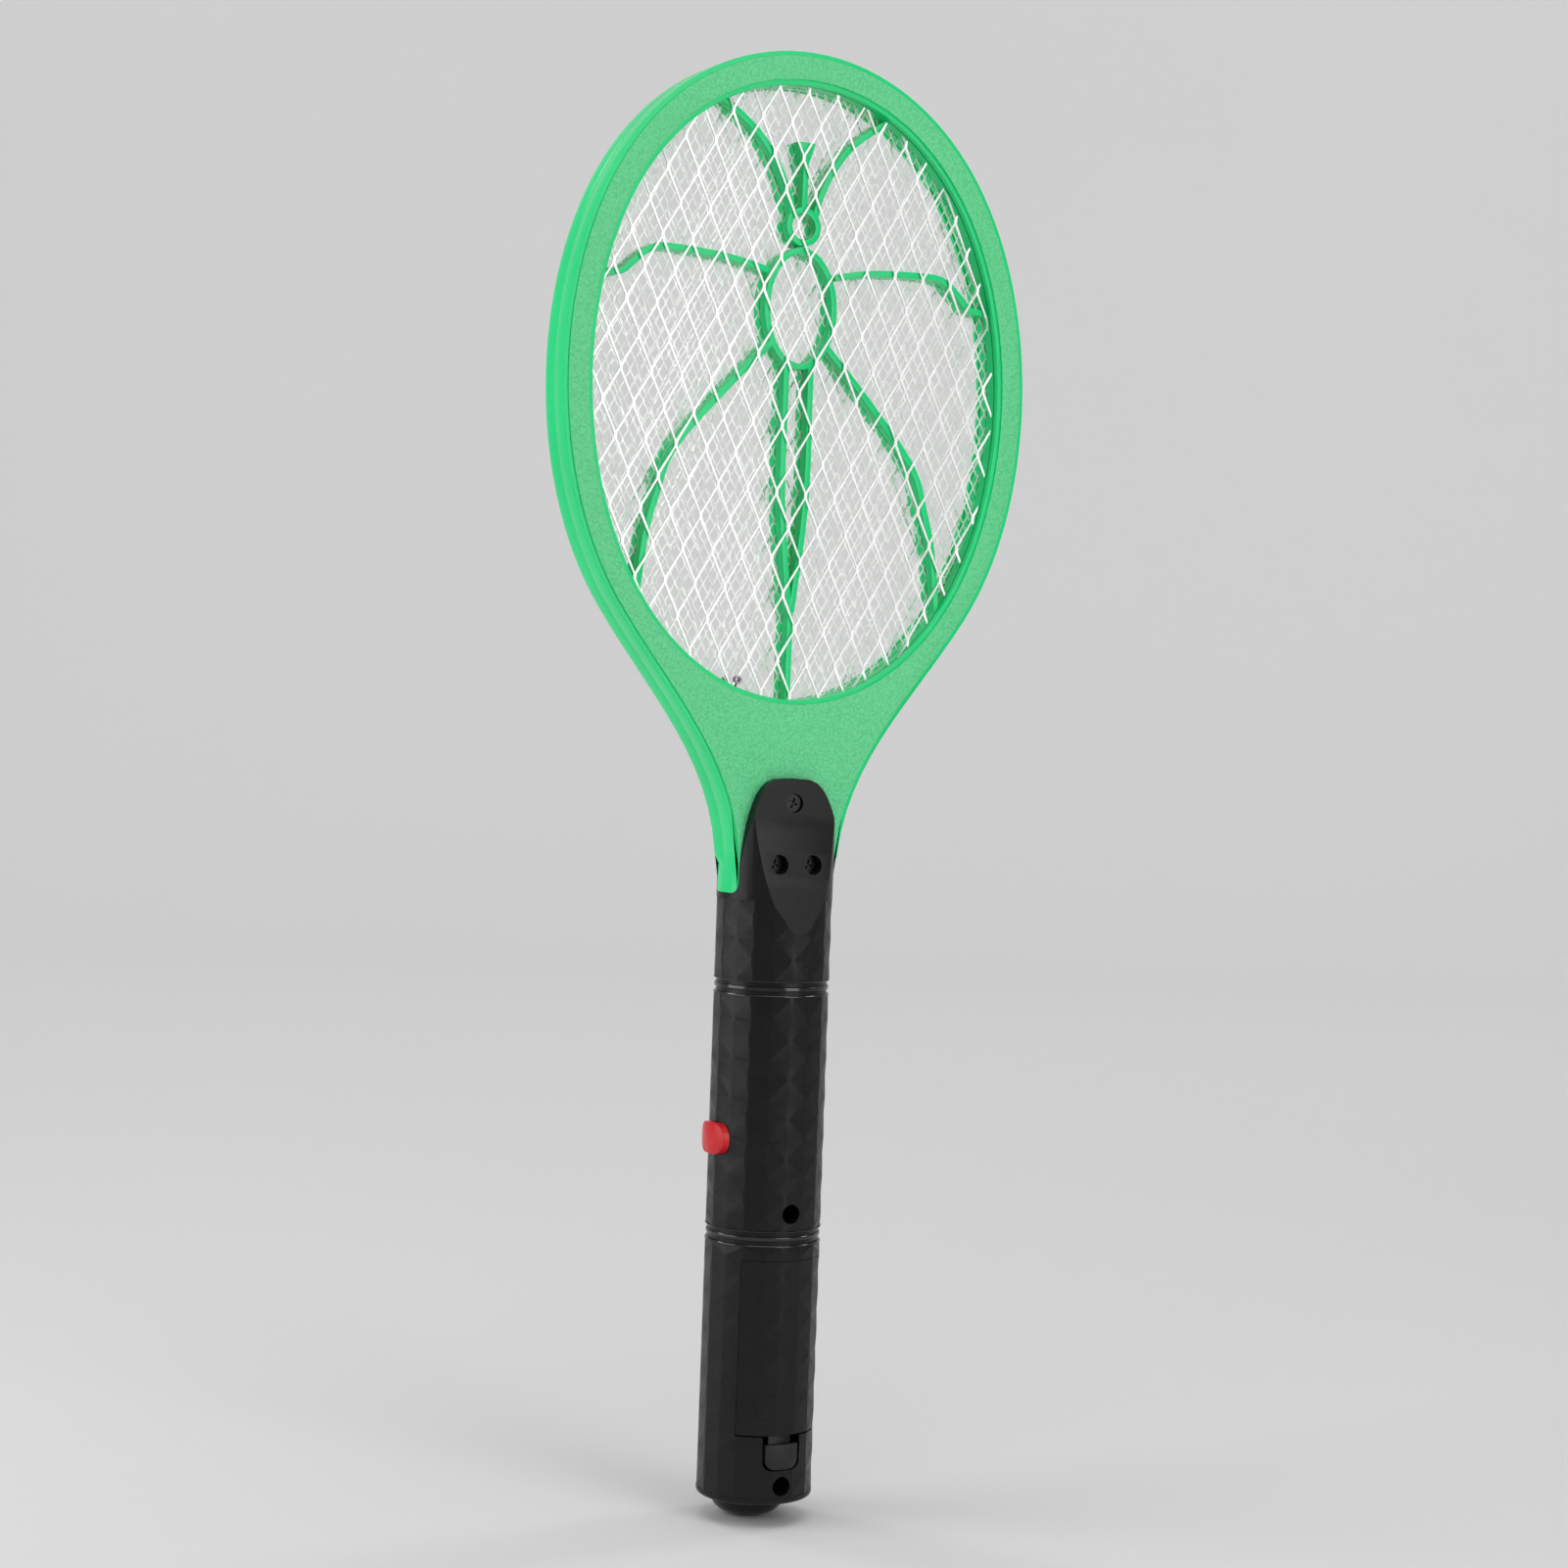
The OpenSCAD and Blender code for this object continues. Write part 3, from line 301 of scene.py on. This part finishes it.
def apply_modifiers(obj):
    evaluated = obj.evaluated_get(bpy.context.evaluated_depsgraph_get())
    mesh = bpy.data.meshes.new_from_object(evaluated)
    obj.modifiers.clear()
    obj.data = mesh


def round_edges(obj, width, angle=38, segments=3):
    bevel = obj.modifiers.new("round", "BEVEL")
    bevel.width = width
    bevel.segments = segments
    bevel.limit_method = "ANGLE"
    bevel.angle_limit = math.radians(angle)
    bevel.miter_outer = "MITER_ARC"
    bevel.harden_normals = False
    apply_modifiers(obj)


def shade(obj, angle=32):
    """Smooth shading with hard lines only where faces meet at more than the angle."""
    limit = math.radians(angle)
    with editing(obj) as work:
        for face in work.faces:
            face.smooth = True
        for edge in work.edges:
            edge.smooth = len(edge.link_faces) != 2 or edge.calc_face_angle(0) < limit


def paint(obj, material, choose):
    """Adds a second material, for the faces that the chooser accepts."""
    obj.data.materials.append(material)
    for face in obj.data.polygons:
        if choose(face):
            face.material_index = 1


def finish_piece(obj, body, slot, *nodes):
    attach(obj, body)
    if nodes:
        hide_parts(*nodes)


# ---------------------------------------------------------------- stage
WORLD_LIGHT = 0.34
WALL_START, WALL_BEND, WALL_TOP = 2.0, 1.2, 6.0     # from the object's middle, in metres
FLOOR_FRONT, FLOOR_HALF_W = -4.0, 6


def area_light(name, place, aim, width, height, power):
    data = bpy.data.lights.new(name, "AREA")
    data.shape = "RECTANGLE"
    data.size, data.size_y = width, height
    data.energy = power
    light = bpy.data.objects.new(name, data)
    bpy.context.scene.collection.objects.link(light)
    light.location = place
    light.rotation_euler = (Vector(aim) - Vector(place)).to_track_quat("-Z", "Y").to_euler()


def beside_camera(degrees, reach, height):
    """A place at an angle to the right of the camera's line of sight."""
    right, _, back = camera_axes()
    a = math.radians(degrees)
    flat = back * math.cos(a) + right * math.sin(a)
    return Vector((flat.x, flat.y, 0)).normalized() * reach + Vector((0, 0, height))


def behind(reach, side, height):
    """A place behind the object as the camera sees it, and to the right by side."""
    right, _, back = camera_axes()
    return -Vector((back.x, back.y, 0)).normalized() * reach + right * side + Vector((0, 0, height))


def make_backdrop():
    """A pale floor that curves up into a wall behind the object."""
    profile = [(FLOOR_FRONT, 0.0), (WALL_START, 0.0)]
    profile += [(WALL_START + WALL_BEND * math.sin(a), WALL_BEND - WALL_BEND * math.cos(a))
                for a in map(math.radians, range(6, 91, 6))]
    profile.append((WALL_START + WALL_BEND, WALL_TOP))
    vertices = [behind(d, side, h) for d, h in profile for side in (-FLOOR_HALF_W, FLOOR_HALF_W)]
    faces = [(2 * i, 2 * i + 1, 2 * i + 3, 2 * i + 2) for i in range(len(profile) - 1)]
    look = Shader("backdrop_pale", (0.74, 0.74, 0.74), 0.75)
    look.vary_roughness(look.noise(4, 2), 0.7, 0.85)
    backdrop = new_object("backdrop", vertices, faces, [look.material])
    for face in backdrop.data.polygons:
        face.use_smooth = True


def make_stage():
    make_backdrop()
    world = bpy.data.worlds.new("studio")
    world.use_nodes = True
    light = world.node_tree.nodes["Background"].inputs
    light["Color"].default_value = (1, 1, 1, 1)
    light["Strength"].default_value = WORLD_LIGHT
    bpy.context.scene.world = world
    aim = (0, 0, 0.22)
    area_light("soft_left", beside_camera(-76, 1.1, 0.35), aim, 0.8, 1.3, 8)
    area_light("soft_right", beside_camera(44, 1.2, 0.4), aim, 0.6, 1.3, 6.5)
    area_light("soft_top", (-0.2, -0.5, 1.7), aim, 1.2, 1.2, 7)
    for side in (-1.6, 1.6):
        area_light("wall_wash", behind(1.2, side, 2.2), behind(3.0, side * 0.4, 0.4), 1.6, 0.8, 20)
    bpy.context.scene.view_settings.view_transform = "Standard"


# ---------------------------------------------------------------- hoop
SHARP = math.radians(35)


def bevel_where(obj, choose, width, segments=3):
    """Rounds the sharp edges that the chooser accepts."""
    with editing(obj) as work:
        work.normal_update()
        edges = [e for e in work.edges
                 if len(e.link_faces) == 2 and e.calc_face_angle(0) > SHARP and choose(e)]
        bmesh.ops.bevel(work, geom=edges, offset=width, offset_type="OFFSET", segments=segments,
                        profile=0.5, affect="EDGES", clamp_overlap=True)


def at_depth(level, slack=0.01):
    """Chooses convex edges that lie this many millimetres from the middle plane."""
    def choose(edge):
        a, b = (abs(v.co.y) / MM for v in edge.verts)
        return edge.is_convex and abs(a - b) < 0.01 and abs(a - level) <= slack
    return choose


def make_hoop(looks):
    for side in ("rear", "front"):
        node = f"head_frame_{side}"
        half = clean_copy(node, f"hoop_{side}", [looks["green"]])
        bevel_where(half, at_depth(RIM_HALF_T - BAND_H), 0.5 * MM, 4)
        bevel_where(half, at_depth(RIM_HALF_T), 0.3 * MM, 3)
        bevel_where(half, at_depth(0, 0), 0.15 * MM, 2)
        corners = half.data.vertices
        # The raised band's top faces get the pebbled material, whose colour holds painted sheen, painted
        # highlight and painted shade
        paint(half, looks["grain"], lambda face: all(
            abs(abs(corners[v].co.y) - RIM_HALF_T * MM) < 0.02 * MM for v in face.vertices))
        shade(half)
        finish_piece(half, "handle", "frame_green", node)
        node = f"rib_spacer_{side}"
        ribs = clean_copy(node, f"ribs_{side}", [looks["green"]])
        round_edges(ribs, 0.35 * MM, 40, 3)
        shade(ribs)
        finish_piece(ribs, "handle", "frame_green", node)


# ---------------------------------------------------------------- nets
COARSE_NET = {"pitch": (5.1, 10.3), "knot": (0.5, 1.15, 0.8), "thickness": 0.38, "twist": 0.14,
              "turn": 3, "grow": 0.4, "shift": (-1.2, -0.6)}
FINE_NET = {"pitch": (1.6, 3.0), "knot": (0.36, 0.62, 0.4), "thickness": 0.2, "twist": 0.04,
            "turn": 0, "grow": 2.2, "shift": (0, 0)}
# Section of the small hollow rivet: radius and distance from the net
EYELET = ((0.55, 0.75), (0.55, -0.42), (0.66, -0.52), (0.85, -0.56), (1.2, -0.52), (1.3, -0.4),
          (1.3, -0.25), (0.85, -0.25), (0.85, 0.25), (1.25, 0.25), (1.28, 0.6), (1.0, 0.68), (0.7, 0.78))


def egg_point(degrees, grow):
    """A point of the hoop's opening, moved out by grow, in millimetres."""
    def at(t):
        a = math.radians(t)
        half_w = OPEN_HALF_W + OPEN_TILT * math.cos(a) + OPEN_FILL * (1 + math.cos(2 * a))
        return Vector((half_w * math.sin(a), OPEN_Z + OPEN_HALF_H * math.cos(a)))
    way = (at(degrees + 0.2) - at(degrees - 0.2)).normalized()
    return at(degrees) + Vector((-way.y, way.x)) * grow


def clip(polygon, border):
    """Cuts a plane polygon down to the inside of a convex border."""
    for i, a in enumerate(border):
        b = border[(i + 1) % len(border)]
        kept = []
        for j, q in enumerate(polygon):
            last = polygon[j - 1]
            inside, was_inside = ((b - a).cross(r - a) <= 0 for r in (q.to_2d(), last.to_2d()))
            if inside != was_inside:
                d0, d1 = (b - a).cross(last.to_2d() - a), (b - a).cross(q.to_2d() - a)
                kept.append(last.lerp(q, d0 / (d0 - d1)))
            if inside:
                kept.append(q)
        polygon = kept
        if len(polygon) < 3:
            return []
    return polygon


def expanded_net(name, look, y, pitch, knot, thickness, twist, turn, grow, shift):
    """Metal mesh of six-sided knots joined by slanted strands, slit and pulled from one sheet.

    pitch: half pitches across and up; knot: half width, half height and side height of a knot;
    twist: how far a strand's edges stand out of the net's plane; turn: degrees about Y;
    grow and shift: where the net is cut off, past the opening's edge.
    """
    half_w, half_h, side_h = knot
    shape = [(0, half_h, twist), (half_w, side_h, -twist), (half_w, -side_h, -twist),
             (0, -half_h, twist), (-half_w, -side_h, -twist), (-half_w, side_h, -twist)]
    c, s = math.cos(math.radians(turn)), math.sin(math.radians(turn))
    border = [egg_point(t, grow) + Vector(shift) for t in range(0, 360, 4)]
    if (border[1] - border[0]).cross(border[2] - border[1]) > 0:
        border.reverse()
    reach_i = int(OPEN_HALF_W / pitch[0]) + 3
    reach_j = int(OPEN_HALF_H / pitch[1]) + 3
    far_w, far_h = OPEN_HALF_W + 12, OPEN_HALF_H + 14

    def corner(i, j, k):
        x, z = i * pitch[0] + shape[k][0], j * pitch[1] + shape[k][1]
        return Vector((x * c + z * s, OPEN_Z + z * c - x * s, shape[k][2]))

    work = bmesh.new()
    seen = {}

    def vertex(q):
        key = (round(q.x, 3), round(q.y, 3))
        if key not in seen:
            seen[key] = work.verts.new((q.x * MM, (y + q.z) * MM, q.y * MM))
        return seen[key]

    def far_out(q):
        return (q.x / far_w) ** 2 + ((q.y - OPEN_Z) / far_h) ** 2 > 1

    for i in range(-reach_i, reach_i + 1):
        for j in range(-reach_j, reach_j + 1):
            if (i + j) % 2:
                continue
            right, left = (i + 1, j - 1), (i - 1, j - 1)
            pieces = [[corner(i, j, k) for k in range(6)],
                      [corner(i, j, 2), corner(*right, 0), corner(*right, 5), corner(i, j, 3)],
                      [corner(i, j, 3), corner(*left, 1), corner(*left, 0), corner(i, j, 4)]]
            for piece in pieces:
                if all(far_out(q) for q in piece):
                    continue
                points = []
                for v in (vertex(q) for q in clip(piece, border)):
                    if v not in points:
                        points.append(v)
                if len(points) > 2 and work.faces.get(points) is None:
                    work.faces.new(points)
    bmesh.ops.recalc_face_normals(work, faces=work.faces)
    made = new_object(name, [], [], [look])
    work.to_mesh(made.data)
    work.free()
    solid = made.modifiers.new("sheet", "SOLIDIFY")
    solid.thickness = thickness * MM
    solid.offset = 0
    apply_modifiers(made)
    return made


def eyelet(name, look, y, side):
    """A hollow rivet, turned about a line along Y."""
    steps, n = 40, len(EYELET)
    vertices, faces = [], []
    for k in range(steps):
        a = math.tau * k / steps
        vertices += [Vector((RIVET_X + r * math.cos(a), y + side * d, RIVET_Z + r * math.sin(a))) * MM
                     for r, d in EYELET]
    for k in range(steps):
        for q in range(n):
            a, b = k * n + q, k * n + (q + 1) % n
            c, d = (k + 1) % steps * n + (q + 1) % n, (k + 1) % steps * n + q
            faces.append((a, b, c, d))
    made = new_object(name, vertices, faces, [look])
    with editing(made) as work:
        bmesh.ops.recalc_face_normals(work, faces=work.faces)
    return made


def make_nets(looks):
    for side, sign in (("rear", -1), ("front", 1)):
        net = expanded_net(f"coarse_net_{side}", looks["net"], sign * NET_Y, **COARSE_NET)
        round_edges(net, 0.09 * MM, 50, 1)
        shade(net, 30)
        finish_piece(net, "handle", "net_metal", f"outer_net_{side}")
        ring = eyelet(f"eyelet_{side}", looks["rivet"], sign * NET_Y, -sign)
        shade(ring, 40)
        finish_piece(ring, "handle", "contact_metal", f"net_rivet_{side}")
    fine = expanded_net("fine_net", looks["fine"], 0, **FINE_NET)
    shade(fine, 30)
    finish_piece(fine, "handle", "net_metal", "center_net")


# ---------------------------------------------------------------- handle
COLUMNS, COLUMN_PHASE = 18, -27.6               # facets around the handle, degrees of their first corner
ROW, ROW_PHASE = 6.08, 144.1                    # height of a row of facets, and where one row starts
RELIEF_ZONES = ((9.4, 86.6), (91.5, 163.2), (168.0, 192.5))
BAR_R, BAR_LOW, BAR_HIGH = HANDLE_R + 3, -2.0, 240.0
PEAK, DIPS = 0.1, (0.24, 0.06)                  # facet corners above and below the handle's round
# Section of the end dome: radius and height
DOME = ((0.0, 0.0), (3.5, 0.02), (6.2, 0.35), (6.5, 0.62), (6.8, 0.6), (8.6, 1.35), (10.3, 2.75),
        (11.5, 4.5), (12.1, 6.3), (12.2, 7.3), (11.9, 7.46), (0.0, 7.46))
DOME_CENTRE = (0.0, 4.0)
# Node, material, slot, body and edge radius in millimetres
HANDLE_PIECES = (
    ("handle_rear_shell", "black", "handle_black", "handle", 0.2),
    ("handle_front_shell", "black", "handle_black", "handle", 0.2),
    ("battery_door", "black", "handle_black", "door", 0.15),
    ("door_latch", "latch", "handle_black", "latch", 0.3),
    ("end_cap", "cap", "cap_black", "handle", 0.2),
    ("push_button", "red", "button_red", "button", 0.6),
)


def faceted_body():
    """A round bar, wider than the handle except where triangular facets are cut around it."""
    rings = [(BAR_LOW, None)]
    for low, high in RELIEF_ZONES:
        first = math.ceil((low - ROW_PHASE) / ROW + 0.3)
        last = math.floor((high - ROW_PHASE) / ROW - 0.3)
        rings += [(low, None), (low, first - 1)]
        rings += [(ROW_PHASE + ROW * j, j) for j in range(first, last + 1)]
        rings += [(high, last + 1), (high, None)]
    rings.append((BAR_HIGH, None))
    vertices, faces = [], []
    for z, j in rings:
        for i in range(COLUMNS):
            a = math.radians(COLUMN_PHASE + 360 * i / COLUMNS)
            if j is None:
                r = BAR_R
            elif (i + j) % 2 == 0:
                r = HANDLE_R + PEAK
            else:
                r = HANDLE_R - DIPS[i % 2]
            vertices.append((r * math.sin(a) * MM, -r * math.cos(a) * MM, z * MM))
    for k in range(len(rings) - 1):
        for i in range(COLUMNS):
            a, b = k * COLUMNS + i, k * COLUMNS + (i + 1) % COLUMNS
            c, d = b + COLUMNS, a + COLUMNS
            j = rings[k][1]
            if j is None or rings[k + 1][1] is None:
                faces.append((a, b, c, d))
            elif (i + j) % 2 == 0:
                faces += [(a, b, c), (a, c, d)]
            else:
                faces += [(a, b, d), (b, c, d)]
    faces.append(tuple(range(COLUMNS - 1, -1, -1)))
    faces.append(tuple(len(vertices) - COLUMNS + i for i in range(COLUMNS)))
    return new_object("facets", vertices, faces, [])


def cut_facets(obj, facets):
    cut = obj.modifiers.new("facets", "BOOLEAN")
    cut.operation = "INTERSECT"
    cut.solver = "EXACT"
    cut.object = facets
    apply_modifiers(obj)


def lathe(name, look, profile, centre):
    """A solid turned about a vertical line, from radius and height in millimetres."""
    steps = 72
    x, y = centre
    inner = [q for q in profile if q[0] > 0]
    vertices = [Vector((x + r * math.cos(a), y + r * math.sin(a), h)) * MM
                for a in (math.tau * k / steps for k in range(steps)) for r, h in inner]
    n = len(inner)
    low, high = len(vertices), len(vertices) + 1
    vertices += [Vector((x, y, profile[0][1])) * MM, Vector((x, y, profile[-1][1])) * MM]
    faces = []
    for k in range(steps):
        a, b = k * n, (k + 1) % steps * n
        faces += [(a + q, b + q, b + q + 1, a + q + 1) for q in range(n - 1)]
        faces += [(low, b, a), (high, a + n - 1, b + n - 1)]
    return new_object(name, vertices, faces, [look])


def near_groove(q, skin=1.0):
    """Whether a point lies in a groove band, at most skin millimetres under the handle's round."""
    in_band = any(abs(q.z / MM - z) < GROOVE_HALF for z in GROOVES)
    return in_band and math.hypot(q.x, q.y) > (HANDLE_R - skin) * MM


def in_groove(edge):
    a, b = (v.co for v in edge.verts)
    return edge.is_convex and abs(a.z - b.z) < 0.01 * MM and near_groove(a) and near_groove(b)


def on_tongue(edge):
    """Outer edges of a tongue, but not those of its screw holes."""
    def outer(q):
        at_side = abs(q.x) > TONGUE_X * MM or q.z > TONGUE_TOP_Z * MM
        return at_side and q.z > TONGUE_LOW_Z * MM and abs(q.y) > TONGUE_Y * MM
    return edge.is_convex and all(outer(v.co) for v in edge.verts)


def make_handle(looks):
    facets = faceted_body()
    for node, look, slot, body, width in HANDLE_PIECES:
        piece = clean_copy(node, node + "_look", [looks[look]])
        if look == "black":
            bevel_where(piece, in_groove, 0.4 * MM, 3)
            bevel_where(piece, on_tongue, 0.55 * MM, 4)
            cut_facets(piece, facets)
        round_edges(piece, width * MM, 40, 3)
        if look == "black":
            paint(piece, looks["groove"], lambda face: near_groove(face.center, 0.5))
        # Latch faces deeper than its outer face get the handle's black, as painted shade in the recess
        # around the latch
        if look == "latch":
            paint(piece, looks["black"], lambda face: abs(face.center.y) < LATCH_FACE_R * MM)
        shade(piece, 8 if look == "black" else 32)
        finish_piece(piece, body, slot, node)
    bpy.data.objects.remove(facets)
    dome = lathe("end_dome", looks["cap"], DOME, DOME_CENTRE)
    shade(dome, 25)
    finish_piece(dome, "handle", "cap_black")


# ---------------------------------------------------------------- nodes that keep their CAD mesh
KEPT = {
    "net_lead_rear": "wire_red", "net_lead_front": "wire_red", "net_lead_center": "wire_black",
    "switch_body": "component", "switch_plunger": "plunger",
    "circuit_board": "board", "transformer_core": "ferrite", "transformer_winding": "winding",
    "storage_capacitor": "capacitor", "rectifier_diodes": "component", "transistor": "component",
    "resistors": "resistor", "battery_left": "cell", "battery_right": "cell", "contact_bridge": "contact",
    "spring_bottom": "contact", "spring_top": "contact", "positive_terminal": "contact",
    "negative_terminal": "contact", "battery_lead_red": "wire_red", "battery_lead_black": "wire_black",
    "tongue_screws": "screw", "handle_screws": "screw",
}


def dress_kept(looks):
    for node, look in KEPT.items():
        mesh = NODES[node].data
        mesh.materials.clear()
        mesh.materials.append(looks[look])
    for node in ("battery_left", "battery_right"):
        paint(NODES[node], looks["contact"], lambda face: abs(face.normal.z) > 0.9)


make_camera()
make_stage()
LOOKS = make_materials()
make_hoop(LOOKS)
make_nets(LOOKS)
make_handle(LOOKS)
dress_kept(LOOKS)
